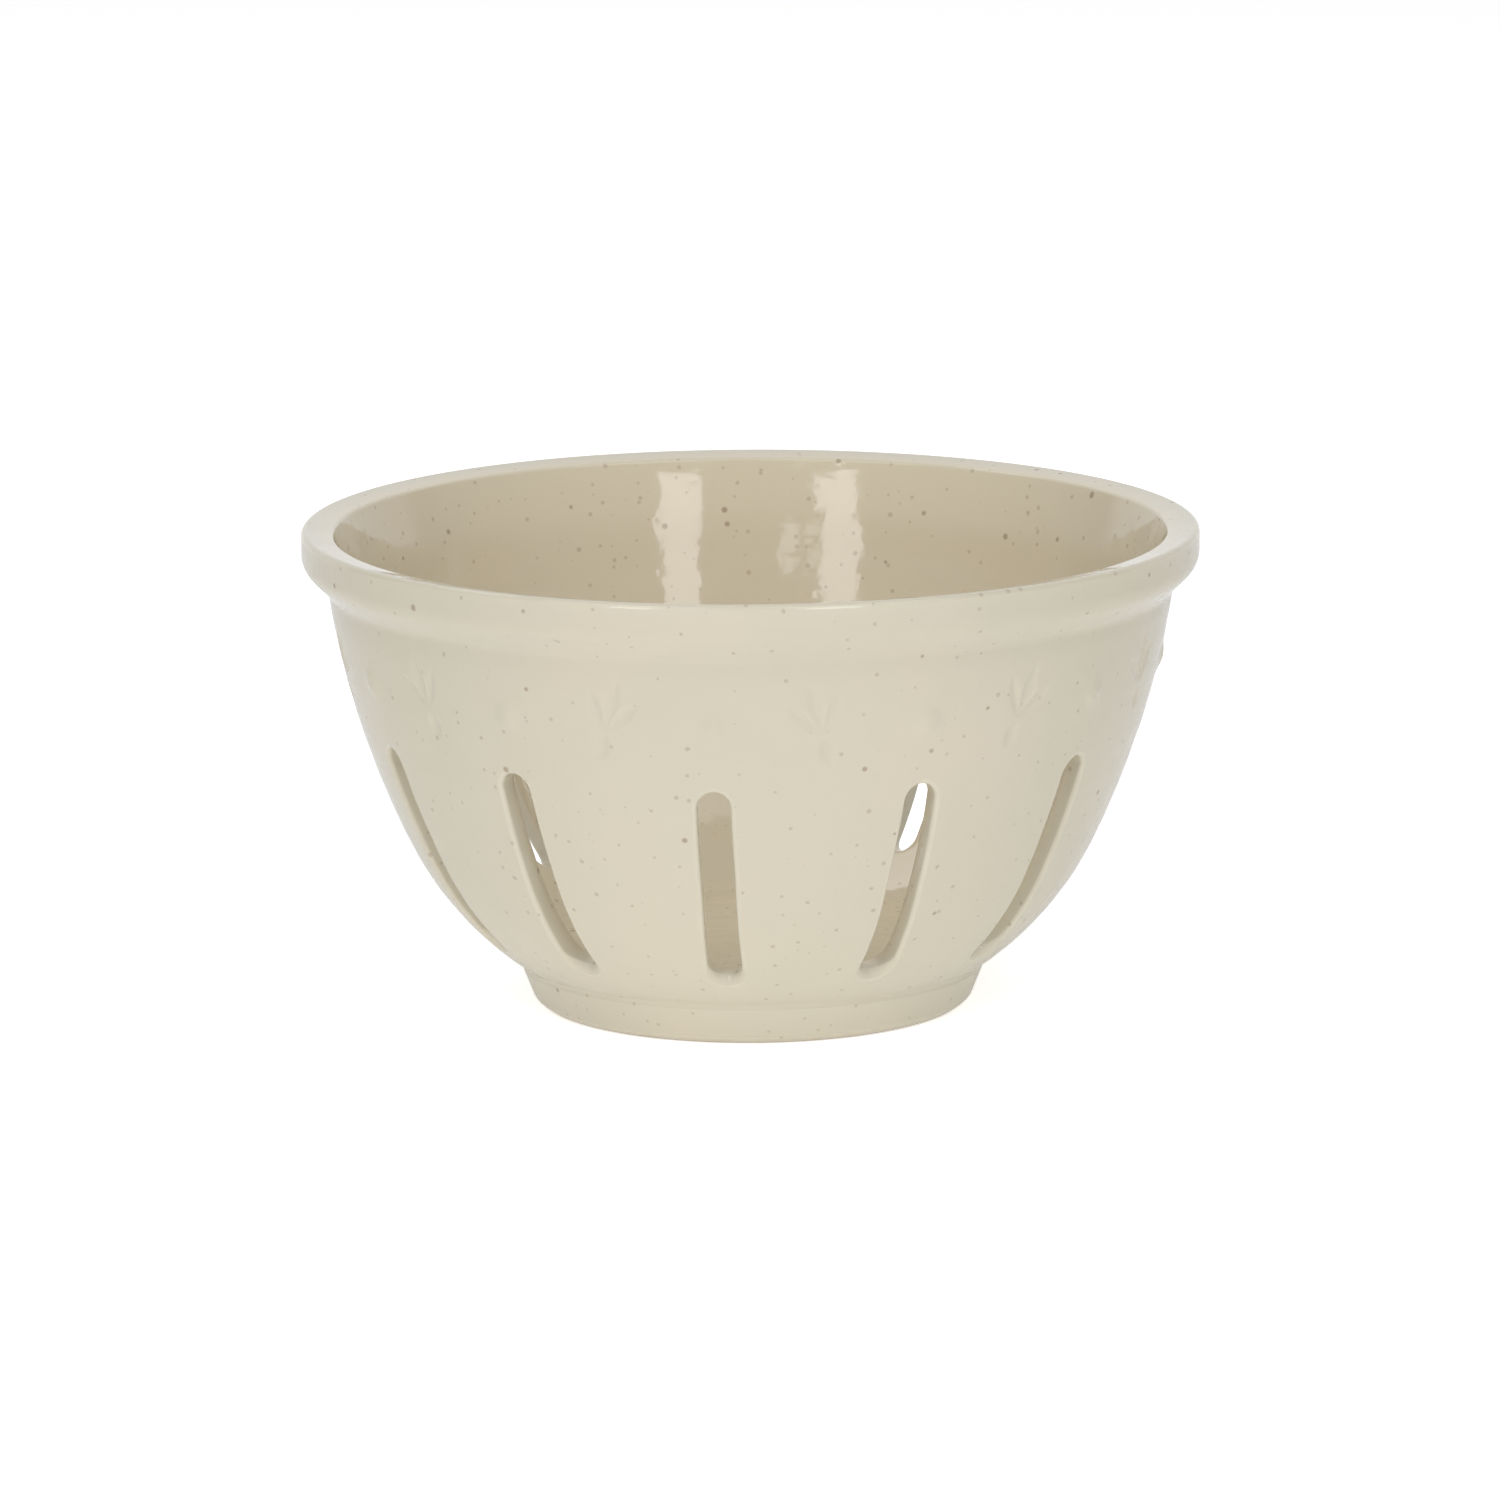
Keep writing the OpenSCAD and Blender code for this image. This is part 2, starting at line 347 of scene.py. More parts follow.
def slotRings():
    # rings round every slot, from the outer face through the cut to the inner face, as
    # distance from the axis, angle and height: a rounded edge is corner + (1 - sin a) towards
    # the face + (1 - cos a) along the cut, and a flat one runs straight between the same ends
    wall, tip = bowl["wall"], slots["tip"]
    x, z, nx, nz = slotOutline()
    cornerOut = onFace(x, z, 0.0)
    depth = np.full_like(z, wall)
    for _ in range(slots["settle"]):
        zIn = z + depth * np.tan(np.radians(tip))
        cornerIn = onFace(x, zIn, wall)
        depth = cornerOut[..., 1] - cornerIn[..., 1]
    intoCut = np.array([0, -cosD(tip), sinD(tip)])

    low = np.clip(-nz, 0, 1)[None, :] ** slots["scoopPower"]
    edge = slots["outerEdge"]
    edgeDown = edge + (slots["scoopDown"] - edge) * low
    edgeDeep = edge + (slots["scoopDeep"] - edge) * low
    inner = slots["innerEdge"] * (1 - slots["innerLess"] * low)
    onOut = onFace(x + nx * edgeDown, z + nz * edgeDown * cosD(wallTilt(z)), 0.0)
    onIn = onFace(x + nx * inner, zIn + nz * inner * cosD(wallTilt(zIn, wall)), wall)

    a = np.linspace(0, 90, slots["edgeRows"])[None, :, None, None]
    flat = (slots["scoopFlat"] * low)[:, None, :, None]
    toFace = (1 - sinD(a)) * (1 - flat) + (1 - a / 90) * flat
    toCut = (1 - cosD(a)) * (1 - flat) + a / 90 * flat
    rowsOut = cornerOut + (onOut - cornerOut) * toFace + edgeDeep[..., None] * intoCut * toCut
    rowsIn = (cornerIn + (onIn - cornerIn) * (1 - sinD(a))
              - inner[..., None] * intoCut * (1 - cosD(a)))[:, ::-1]
    share = (np.arange(1, slots["cutRows"] + 1) / (slots["cutRows"] + 1))[None, :, None, None]
    between = rowsOut[:, -1:] * (1 - share) + rowsIn[:, :1] * share
    rings = np.concatenate([rowsOut, between, rowsIn], 1)
    angle = np.degrees(np.arctan2(rings[..., 0], rings[..., 1]))
    swing = np.array(slots["swing"])[:, None, None]
    return np.hypot(rings[..., 0], rings[..., 1]), angle + swing, rings[..., 2]


def bayEdge(low, high):
    # angle and height of the bay's edge, in step with the outline's points
    m = slots["sideSteps"]
    side = np.linspace(low, high, m, endpoint=False)
    # both sides of a bay carry the same heights, so that neighbours meet
    back = np.concatenate([[high], side[1:][::-1]])
    ends = np.ones(len(coarseBay) - 1)
    angle = np.concatenate([coarseBay[:-1], np.full(m, coarseBay[-1]),
                            coarseBay[:0:-1], np.full(m, coarseBay[0])])
    return angle, np.concatenate([low * ends, side, high * ends, back])


def slotRays(angle, height, edgeLow, count, depth):
    # straight lines in angle and height from a slot's ring (v = 0) to its bay's edge (v = 1)
    v = (np.linspace(0, 1, count + 1)[1:] ** slots["rayPower"])[None, :, None]
    edgeAngle, edgeZ = bayEdge(edgeLow, bandLow)
    rayAngle = (1 - v) * angle[:, None] + v * edgeAngle
    rayZ = (1 - v) * height[:, None] + v * edgeZ
    return wallReach(rayZ, depth), rayAngle, rayZ


def makeSlottedWall():
    wall, rings = bowl["wall"], slotRings()
    _, angle, height = rings
    outer = slotRays(angle[:, 0], height[:, 0], foot["joinHigh"], slots["outerRays"], 0.0)
    inner = slotRays(angle[:, -1], height[:, -1], floorPan["joinHigh"], slots["innerRays"], wall)
    radius, turn, high = (np.concatenate([o[:, ::-1], r, i], 1)
                          for o, r, i in zip(outer, rings, inner))
    nets = place(radius, turn + bayTurn * np.arange(bowl["bays"])[:, None, None], high)
    rims = turned([onWall(bandLow), onWall(bandLow, wall), onWall(floorPan["joinHigh"], wall),
                   onWall(foot["joinHigh"])], coarseRing)
    netIndex, rimIndex = indexOf(nets, rims)
    addPiece("slotted_wall_glazed", ["drain_wall"], [nets, rims],
             [netFaces(bay) for bay in netIndex], [netFaces(rimIndex[:2]), netFaces(rimIndex[2:])])


# the band over the slots: a pressed sprig between the slots and a clay dot over each of them
band = {
    "joinHigh": 73.4,      # where it runs into the collar
    "rows": ([0, 3, 53, 58], [53.2, 54.2, 70.2, 73.4]),    # rows, and the heights they have reached
    "backRows": 16,
    "printHeight": 61.7,
    "printWander": 0.25,
    "printDepth": 0.38,
    "lean": 16.0,
    "leanWander": 3.0,
    "leaf": (8.4, 2.2),    # length and width
    "fan": 34.0,
    "gap": 1.0,            # from the sprig's middle to its leaves
    "sideShare": 0.8,
    "stemShare": 0.5,
    "softOut": 0.7,        # how far the pressed edge is softened outside and inside the leaf
    "softIn": 0.95,
    "dotHeight": 63.2,
    "dotRadius": 2.4,
    "dotRise": 0.5,
    "dotBlend": 0.3,
    "dotReach": 2.2,       # the blend ends this many radii from the middle
    "seed": 8,
}


def leafShare(x, y, length, width):
    # signed distance into a pointed leaf, the overlap of two discs, made a soft step
    bow = (length ** 2 + width ** 2) / (4 * width)
    into = bow - np.hypot(np.abs(x) + bow - width / 2, y - band["gap"] - length / 2)
    s = np.clip((into + band["softOut"]) / (band["softOut"] + band["softIn"]), 0, 1)
    return s * s * (3 - 2 * s)


def pressed(angle, z):
    # depth of the nearest sprig, the deepest of three leaves fanned upwards and a short stem
    number = np.floor(angle / bayTurn)
    wander = np.random.default_rng(band["seed"]).uniform(-1, 1, (bowl["bays"], 3))
    own = wander[number.astype(int) % bowl["bays"]]
    off = band["printWander"] * own
    x = wallReach(z) * np.radians(angle - (number + 0.5) * bayTurn) + off[..., 0]
    y = (z - band["printHeight"]) / cosD(wallTilt(z)) + off[..., 1]
    lean = np.where(number % 2 == 0, band["lean"], -band["lean"]) + band["leanWander"] * own[..., 2]
    length, width = band["leaf"]
    side, stem = band["sideShare"], band["stemShare"]
    deepest = np.zeros_like(x)
    for turn, long, wide in ((0, 1, 1), (band["fan"], side, side), (-band["fan"], side, side),
                             (180, stem, 1)):
        a = np.radians(lean) + math.radians(turn)
        across, up = x * np.cos(a) + y * np.sin(a), -x * np.sin(a) + y * np.cos(a)
        deepest = np.maximum(deepest, leafShare(across, up, length * long, width * wide))
    return band["printDepth"] * deepest


def raised(angle, z):
    # a low dome over each slot: 1 - (d / radius)^2, run softly into the wall
    off = (angle + bayTurn / 2) % bayTurn - bayTurn / 2
    up = (z - band["dotHeight"]) / cosD(wallTilt(z))
    d2 = (wallReach(z) * np.radians(off)) ** 2 + up ** 2
    dome = band["dotRise"] * (1 - d2 / band["dotRadius"] ** 2)
    soft = (dome + np.sqrt(dome ** 2 + band["dotBlend"] ** 2)) / 2
    return np.where(d2 < (band["dotReach"] * band["dotRadius"]) ** 2, soft, 0)


def makeBand():
    rows = np.interp(np.arange(band["rows"][0][-1] + 1), *band["rows"])
    z, angle = np.broadcast_arrays(rows[1:-1, None], fineRing[None, :])
    # relief stands square to the wall: out by cos(tilt), down by sin(tilt)
    lift, tilt = raised(angle, z) - pressed(angle, z), wallTilt(z)
    outer = place(wallReach(z) + lift * cosD(tilt), angle, z - lift * sinD(tilt))
    low, high = (turned([onWall(row)], coarseRing) for row in rows[[0, -1]])
    back = turned(wallLine(rows[-1], rows[0], band["backRows"], innerReach), coarseRing)
    grids = [low, outer, high, back]
    lowI, outerI, highI, backI = indexOf(*grids)
    addPiece("printed_band_glazed", ["print_band", "clay_dots"], grids,
             [widenFaces(lowI[0], outerI[0]), netFaces(outerI),
              narrowFaces(outerI[-1], highI[0]), netFaces(backI)],
             [netFaces(np.stack([highI[0], backI[0]])), netFaces(np.stack([backI[-1], lowI[0]]))])


# the rolled collar, from the wall outside over the lip to the wall inside
collar = {
    "cove": 75.4,          # height where the wall meets the collar's underside
    "coveRound": 3.2,
    "sideRadius": 79.55,
    "sideLow": 79.95,      # where the underside's slope meets the upright side
    "sideRound": 4.6,
    "top": 86.15,          # where the top's slope meets the side's line
    "topRound": 0.95,
    "lip": 85.25,          # height of the corner where that slope meets the inner wall
    "lipRound": 0.9,
    "lipRun": 1.5,
    "roundSteps": 14,
    "innerRows": 24,
}


def makeCollar():
    side, lip = collar["sideRadius"], collar["lip"]
    inner = wallLine(lip - collar["lipRun"], band["joinHigh"], collar["innerRows"], innerReach)
    line = roundedLine(
        [onWall(band["joinHigh"]), onWall(collar["cove"]), (side, collar["sideLow"]),
         (side, collar["top"]), (float(innerReach(lip)), lip), inner[0]],
        [collar["coveRound"], collar["sideRound"], collar["topRound"], collar["lipRound"]],
        collar["roundSteps"])
    grid = turned(np.concatenate([line, inner[1:]]), coarseRing)
    index, = indexOf(grid)
    addPiece("rolled_collar_glazed", ["rim_collar"], [grid], [netFaces(index)],
             [netFaces(index[[-1, 0]])])


for make in (makeFoot, makeFloor, makeSlottedWall, makeBand, makeCollar):
    make()
print("surfaces worked out:", sum(len(piece["points"]) for piece in pieces), "points")

# the potter's hand: a rim that isn't quite round or level, and faint rings left by throwing
hand = {
    "waves": ((0.3, -0.13), (0.02, 0.01), (-0.11, -0.22)),    # cos and sin, 1 to 3 times round
    "level": (0.13, -0.01),
    "growPower": 1.5,      # both grow with this power of the height
    "still": 20.0,         # within this radius they fade towards the axis
    "ring": 0.018,
    "ringPitch": 5.4,
    "ringsLow": (9.0, 6.0),     # the height where the rings set in, and over how much
    "ringsHigh": (78.0, 4.0),   # and where they end
    "second": (0.7, 0.57, 1.3),     # the second rings' size and count against the first, and phase
}


def thrown(points):
    # radial shift = cos(n a) and sin(n a) waves that grow with the height, + two sets of
    # rings, sin(height - angle) and sin(height + 2 angle); lift = one wave round
    angle, z = np.arctan2(points[:, 0], -points[:, 1]), points[:, 2]
    grow = np.clip(z / bowl["height"], 0, 1) ** hand["growPower"]
    waves = sum(c * np.cos(n * angle) + s * np.sin(n * angle)
                for n, (c, s) in enumerate(hand["waves"], 1))
    low, lowRun = hand["ringsLow"]
    high, highRun = hand["ringsHigh"]
    wall = np.clip((z - low) / lowRun, 0, 1) * np.clip((high - z) / highRun, 0, 1)
    share, pace, phase = hand["second"]
    turn = 2 * np.pi * z / hand["ringPitch"]
    rings = np.sin(turn - angle) + share * np.sin(pace * turn + 2 * angle + phase)
    shift = waves * grow + wall * hand["ring"] * rings
    scale = 1 + shift / np.maximum(np.hypot(points[:, 0], points[:, 1]), hand["still"])
    c, s = hand["level"]
    lift = grow * (c * (np.cos(angle) - 1) + s * np.sin(angle))
    return np.stack([points[:, 0] * scale, points[:, 1] * scale, z + lift], -1)


surface = {
    "weldGrid": 1e3,       # corners that round to the same thousandth are one
    "bendMost": 1.5,       # per millimetre
    "insideFrom": 0.3,     # share of the way through the wall where the inner skin starts,
    "insideOver": 0.5,     # and over how much it comes in
    "insideLow": (8.0, 2.0),     # height where it starts, and over how much
}


def sameCorners(points):
    # first point of every corner, and the number of each point's corner
    keys = np.round(points * surface["weldGrid"]).astype(np.int64)
    _, first, same = np.unique(keys, axis=0, return_index=True, return_inverse=True)
    return first, same.reshape(-1)


def weld(piece):
    # corners that lie on one another become one, and faces keep their order
    first, same = sameCorners(piece["points"])
    piece["points"] = piece["points"][first]
    for part in ("skin", "hidden"):
        piece[part] = [same[faces] for faces in piece[part]]


def faceNormals(points, faces):
    # half the sum of the cross products round a face: its direction, as long as its area
    corner = points[faces]
    return np.cross(corner, np.roll(corner, -1, axis=1)).sum(1) / 2


def shareNormals():
    # normals and bend are worked out over the whole bowl, so that its pieces meet unseen
    everything = np.concatenate([piece["points"] for piece in pieces])
    same = sameCorners(everything)[1]
    size, start = same.max() + 1, 0
    total, everyPoint = np.zeros((size, 3)), np.zeros((size, 3))
    everyPoint[same] = everything
    nets = []
    for piece in pieces:
        for faces in piece["skin"]:
            net = same[faces + start]
            nets.append(net)
            normal = np.repeat(faceNormals(piece["points"], faces), faces.shape[1], axis=0)
            for axis in range(3):
                total[:, axis] += np.bincount(net.ravel(), weights=normal[:, axis], minlength=size)
        start += len(piece["points"])
    normals = total / np.maximum(np.linalg.norm(total, axis=1, keepdims=True), 1e-12)
    # bend along an edge = change of normal over the edge's length, outward bends positive
    a = np.concatenate([net.ravel() for net in nets])
    b = np.concatenate([np.roll(net, -1, axis=1).ravel() for net in nets])
    step = everyPoint[b] - everyPoint[a]
    curve = ((normals[b] - normals[a]) * step).sum(1) / np.maximum((step ** 2).sum(1), 1e-9)
    both, values = np.concatenate([a, b]), np.concatenate([curve, curve])
    count = np.maximum(np.bincount(both, minlength=size), 1)
    bend = np.bincount(both, weights=values, minlength=size) / count
    start = 0
    for piece in pieces:
        own = same[start:start + len(piece["points"])]
        piece["normals"] = normals[own]
        piece["bend"] = np.clip(bend[own], -surface["bendMost"], surface["bendMost"])
        start += len(own)


def insideShare(points):
    # 1 on the inner skin, 0 on the outer: a soft step over a point's share of the way through
    z = np.clip(points[:, 2], bowl["footHeight"], bowl["height"])
    through = wallReach(z) - np.hypot(points[:, 0], points[:, 1])
    through = through / (wallReach(z) - innerReach(z))
    low, lowRun = surface["insideLow"]
    return (np.clip((through - surface["insideFrom"]) / surface["insideOver"], 0, 1)
            * np.clip((points[:, 2] - low) / lowRun, 0, 1))


def intoBlender(piece, material):
    piece["inside"] = insideShare(piece["points"])
    faces = piece["skin"] + piece["hidden"]
    corners = np.concatenate([f.ravel() for f in faces]).astype(np.int32)
    sizes = np.concatenate([np.full(len(f), f.shape[1]) for f in faces])
    starts = np.concatenate([[0], np.cumsum(sizes)[:-1]]).astype(np.int32)
    mesh = bpy.data.meshes.new(piece["name"])
    mesh.vertices.add(len(piece["points"]))
    mesh.vertices.foreach_set("co", (piece["points"] / 1000).astype(np.float32).ravel())
    mesh.loops.add(len(corners))
    mesh.loops.foreach_set("vertex_index", corners)
    mesh.polygons.add(len(sizes))
    mesh.polygons.foreach_set("loop_start", starts)
    mesh.polygons.foreach_set("use_smooth", np.ones(len(sizes), bool))
    mesh.update(calc_edges=True)
    # shared normals on the skin, and flat ones on the faces between the pieces
    normals = [piece["normals"][f].reshape(-1, 3) for f in piece["skin"]]
    for f in piece["hidden"]:
        flat = faceNormals(piece["points"], f)
        flat = flat / np.linalg.norm(flat, axis=1, keepdims=True)
        normals.append(np.repeat(flat, f.shape[1], axis=0))
    mesh.normals_split_custom_set(np.concatenate(normals).tolist())
    for name in ("bend", "inside"):
        attribute = mesh.attributes.new(name, "FLOAT", "POINT")
        attribute.data.foreach_set("value", piece[name].astype(np.float32))
    mesh.materials.append(material)
    obj = bpy.data.objects.new(piece["name"], mesh)
    bpy.context.scene.collection.objects.link(obj)
    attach(obj, "root")
    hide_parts(*piece["nodes"])
    return obj


def colour(red, green, blue):
    # screen values 0 to 255 to the linear values that Blender's sockets take
    c = np.array([red, green, blue]) / 255
    c = np.where(c <= 0.04045, c / 12.92, ((c + 0.055) / 1.055) ** 2.4)
    return (*c.tolist(), 1.0)


def newTree(owner):
    owner.use_nodes = True
    owner.node_tree.nodes.clear()
    return owner.node_tree


def feed(tree, socket, value):
    # another node's output is linked, and anything else is set on the socket
    if isinstance(value, bpy.types.NodeSocket):
        tree.links.new(value, socket)
    else:
        socket.default_value = value


def addNode(tree, kind, inputs=None, **settings):
    node = tree.nodes.new(kind)
    for key, value in settings.items():
        setattr(node, key, value)
    for key, value in (inputs or {}).items():
        feed(tree, node.inputs[key], value)
    return node


def mathNode(tree, operation, *values, clamp=False):
    node = addNode(tree, "ShaderNodeMath", dict(enumerate(values)), operation=operation,
                   use_clamp=clamp)
    return node.outputs[0]


def mixColour(tree, share, a, b):
    # inputs 0, 6 and 7 are the share and the two colours
    return addNode(tree, "ShaderNodeMix", {0: share, 6: a, 7: b}, data_type="RGBA").outputs[2]


def mapRange(tree, value, low, high, toLow=0.0, toHigh=1.0):
    return addNode(tree, "ShaderNodeMapRange", {"Value": value, "From Min": low, "From Max": high,
                                                "To Min": toLow, "To Max": toHigh}).outputs[0]


def noise(tree, vector, scale, detail):
    return addNode(tree, "ShaderNodeTexNoise", {"Vector": vector, "Scale": scale,
                                                "Detail": detail}).outputs["Fac"]


speckEdge = 0.4     # width of a speck's soft edge, against the largest radius


def ironSpeckGroup():
    # iron specks: in each Voronoi cell a spot of its own radius, or none, with a soft edge
    group = bpy.data.node_groups.new("ironSpecks", "ShaderNodeTree")
    for name, side, kind in (("Vector", "INPUT", "Vector"), ("Scale", "INPUT", "Float"),
                             ("Size", "INPUT", "Float"), ("Bare", "INPUT", "Float"),
                             ("Speck", "OUTPUT", "Float"), ("Kind", "OUTPUT", "Float")):
        group.interface.new_socket(name=name, in_out=side, socket_type="NodeSocket" + kind)
    into, out = group.nodes.new("NodeGroupInput"), group.nodes.new("NodeGroupOutput")
    size, bare = into.outputs["Size"], into.outputs["Bare"]
    cells = addNode(group, "ShaderNodeTexVoronoi",
                    {"Vector": into.outputs["Vector"], "Scale": into.outputs["Scale"]},
                    voronoi_dimensions="3D", feature="F1")
    split = addNode(group, "ShaderNodeSeparateColor", {"Color": cells.outputs["Color"]})
    over = mathNode(group, "SUBTRACT", split.outputs[0], bare)
    room = mathNode(group, "SUBTRACT", 1.0, bare)
    chosen = mathNode(group, "DIVIDE", over, room, clamp=True)
    radius = mathNode(group, "MULTIPLY", chosen, size)
    within = mathNode(group, "SUBTRACT", radius, cells.outputs["Distance"])
    soft = mathNode(group, "MULTIPLY", size, speckEdge)
    feed(group, out.inputs["Speck"], mathNode(group, "DIVIDE", within, soft, clamp=True))
    feed(group, out.inputs["Kind"], split.outputs[1])
    return group


glaze = {
    "cream": colour(205, 197, 178),
    "creamCool": colour(201, 195, 176),
    "drift": (28.0, 0.35, 0.65),     # scale of the drift between them, and its range
    # painted bounce light: a warmer tone for the inner skin, standing in for light bouncing round
    # the inside
    "inside": colour(214, 203, 179),
    "pooled": colour(198, 188, 160),
    "poolBend": (-0.35, -1.3, 0.4),  # bend where pooling starts and is full, and how strong
    # painted highlight: convex edges get this paler colour, as if their rounding caught the light
    "paintedEdgeHighlight": colour(217, 211, 193),
    "paintedEdgeHighlightBend": (0.15, 1.0, 0.6),
    "brown": colour(116, 62, 30),
    "olive": colour(124, 100, 56),
    "halo": colour(206, 164, 116),
    "haloSize": 1.7,                 # against the blot
    "haloStrength": 0.3,
    # cells per metre, spot radius, bare share outside and inside, strength
    "specks": ((460.0, 0.27, 0.45, 0.1, 0.27), (190.0, 0.15, 0.4, -0.1, 0.5)),
    "blots": (90.0, 0.058, 0.62, 0.2, 0.9),
    "clay": colour(196, 176, 146),
    "clayLine": (160.0, 0.0006, 0.00008),     # scale and height of its uneven line, softness
    "clayRough": 0.7,
    "gloss": 0.04,
    "satin": (90.0, 0.06),           # scale and strength of the roughness's drift
    "poolRough": 0.3,
    "IOR": 1.5,
    "drawn": (1.0, 1.0, 1.5),        # lumps are drawn out along the throwing
    # scale and height of the lumps, the ripples across them and the peel of the glaze
    "lumps": (110.0, 0.00013),
    "ripples": (230.0, 0.00005),
    "peel": (900.0, 0.000004),
}


def speckledGlaze():
    material = bpy.data.materials.new("speckled_cream_glaze")
    tree = newTree(material)
    where = addNode(tree, "ShaderNodeTexCoord").outputs["Object"]
    bend = addNode(tree, "ShaderNodeAttribute", attribute_name="bend").outputs["Fac"]
    inside = addNode(tree, "ShaderNodeAttribute", attribute_name="inside").outputs["Fac"]
    # slow drift between two creams, and painted bounce light inside: a warmer tone on the inner
    # skin
    scale, low, high = glaze["drift"]
    drift = mapRange(tree, noise(tree, where, scale, 3.0), low, high)
    tone = mixColour(tree, drift, glaze["cream"], glaze["creamCool"])
    tone = mixColour(tree, inside, tone, glaze["inside"])
    # glaze pools in hollows, and a painted highlight makes convex edges paler
    start, full, most = glaze["poolBend"]
    pool = mapRange(tree, bend, start, full, 0.0, most)
    tone = mixColour(tree, pool, tone, glaze["pooled"])
    # painted highlight on convex edges: a paler colour where the bend is outward
    start, full, most = glaze["paintedEdgeHighlightBend"]
    tone = mixColour(tree, mapRange(tree, bend, start, full, 0.0, most), tone, glaze["paintedEdgeHighlight"])
    # iron specks, with more of them inside, and a few blots with a rusty halo
    specks = ironSpeckGroup()

    def spots(scale, size, bareOut, bareIn, strength):
        bare = mathNode(tree, "MULTIPLY_ADD", inside, bareIn - bareOut, bareOut)
        spot = addNode(tree, "ShaderNodeGroup", node_tree=specks)
        for name, value in (("Vector", where), ("Scale", scale), ("Size", size), ("Bare", bare)):
            feed(tree, spot.inputs[name], value)
        return mathNode(tree, "MULTIPLY", spot.outputs["Speck"], strength), spot.outputs["Kind"]

    for row in glaze["specks"]:
        share, kind = spots(*row)
        tone = mixColour(tree, share, tone, mixColour(tree, kind, glaze["brown"], glaze["olive"]))
    scale, size, bareOut, bareIn, strength = glaze["blots"]
    share, _ = spots(scale, size * glaze["haloSize"], bareOut, bareIn, glaze["haloStrength"])
    tone = mixColour(tree, share, tone, glaze["halo"])
    share, _ = spots(scale, size, bareOut, bareIn, strength)
    tone = mixColour(tree, share, tone, glaze["brown"])
    # the resting face is wiped bare of glaze, up to an uneven line
    scale, uneven, soft = glaze["clayLine"]
    height = addNode(tree, "ShaderNodeSeparateXYZ", {"Vector": where}).outputs["Z"]
    line = mathNode(tree, "MULTIPLY_ADD", noise(tree, where, scale, 2.0), -uneven, height)
    bare = mapRange(tree, line, soft, -soft)
    tone = mixColour(tree, bare, tone, glaze["clay"])
    # roughness: satin drift, matt clay, duller where the glaze pools
    scale, satin = glaze["satin"]
    rough = mathNode(tree, "MULTIPLY_ADD", noise(tree, where, scale, 4.0), satin, glaze["gloss"])
    rough = mathNode(tree, "MULTIPLY_ADD", bare, glaze["clayRough"], rough)
    rough = mathNode(tree, "MULTIPLY_ADD", pool, glaze["poolRough"], rough)
    drawn = addNode(tree, "ShaderNodeMapping", {"Vector": where, "Scale": glaze["drawn"]})
    normal = None
    for vector, (scale, height) in ((drawn.outputs["Vector"], glaze["lumps"]),
                                    (where, glaze["ripples"]), (where, glaze["peel"])):
        bump = addNode(tree, "ShaderNodeBump", {"Height": noise(tree, vector, scale, 2.0),
                                                "Distance": height})
        if normal:
            feed(tree, bump.inputs["Normal"], normal)
        normal = bump.outputs["Normal"]
    shader = addNode(tree, "ShaderNodeBsdfPrincipled",
                     {"Base Color": tone, "Roughness": rough, "Normal": normal,
                      "IOR": glaze["IOR"]})
    addNode(tree, "ShaderNodeOutputMaterial", {"Surface": shader.outputs["BSDF"]})
    return material


for piece in pieces:
    piece["points"] = thrown(piece["points"])
    weld(piece)
shareNormals()
glazeMaterial = speckledGlaze()
for piece in pieces:
    obj = intoBlender(piece, glazeMaterial)
    print(piece["name"], len(obj.data.vertices), "points,", len(obj.data.polygons), "faces")

# camera at the photograph's angle: a long lens two metres away, a touch of roll
camera = {
    "distance": 2.0,
    "aim": (0.0, 0.0, 0.042),
    "side": 5.3,           # degrees round from -Y
    "rise": 11.37,
    "roll": -0.36,
    "frame": 1500,         # the picture's width; the focal length and the shift are in its pixels
    "focal": 11244.5,
    "shift": (-1.65, 16.75),
    "sensor": 36,
}


def outward(side, rise):
    # direction from the bowl: degrees round from -Y towards +X, and degrees up
    a, e = math.radians(side), math.radians(rise)
    return Vector((math.sin(a) * math.cos(e), -math.cos(a) * math.cos(e), math.sin(e)))


def makeCamera():
    a, r = math.radians(camera["side"]), math.radians(camera["roll"])
    back = outward(camera["side"], camera["rise"])
    right = Vector((math.cos(a), math.sin(a), 0))
    up = back.cross(right)
    axes = (right * math.cos(r) + up * math.sin(r), up * math.cos(r) - right * math.sin(r), back)
    data = bpy.data.cameras.new("photo_camera")
    data.sensor_width = camera["sensor"]
    data.lens = camera["focal"] / camera["frame"] * camera["sensor"]
    data.shift_x, data.shift_y = (shift / camera["frame"] for shift in camera["shift"])
    data.clip_start, data.clip_end = 0.1, 50
    obj = bpy.data.objects.new("photo_camera", data)
    eye = Vector(camera["aim"]) + back * camera["distance"]
    obj.matrix_world = Matrix.Translation(eye) @ Matrix(axes).transposed().to_4x4()
    bpy.context.scene.collection.objects.link(obj)
    bpy.context.scene.camera = obj


